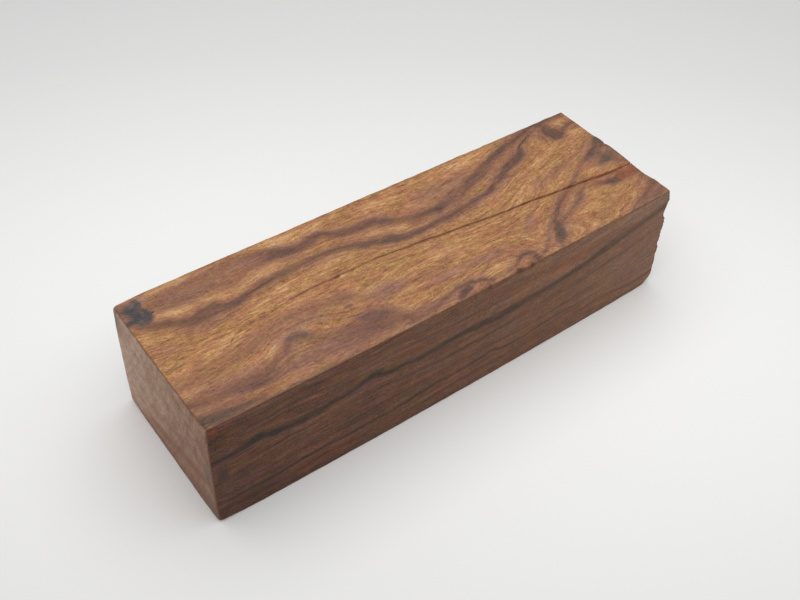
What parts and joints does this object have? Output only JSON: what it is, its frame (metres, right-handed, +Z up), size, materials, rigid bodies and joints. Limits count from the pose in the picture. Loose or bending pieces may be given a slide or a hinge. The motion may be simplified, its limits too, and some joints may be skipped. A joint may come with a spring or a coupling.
{
  "type": "ironwood block",
  "caption": "Sawn rectangular billet of figured desert ironwood, slightly tapered, for carving, turning or handle making.",
  "frame": {"origin": "middle of the bounding box on the ground, on the bottom face", "axes": "+X along the grain from the smooth end to the rough sawn end, +Y from the front long face to the back one, +Z up"},
  "size_m": [0.131, 0.0428, 0.0314],
  "materials": {
    "ironwood": "sawn smooth and bare, with a low sheen; one end rough sawn"
  },
  "bodies": {
    "root": {"ironwood_block": "ironwood"}
  },
  "joints": []
}
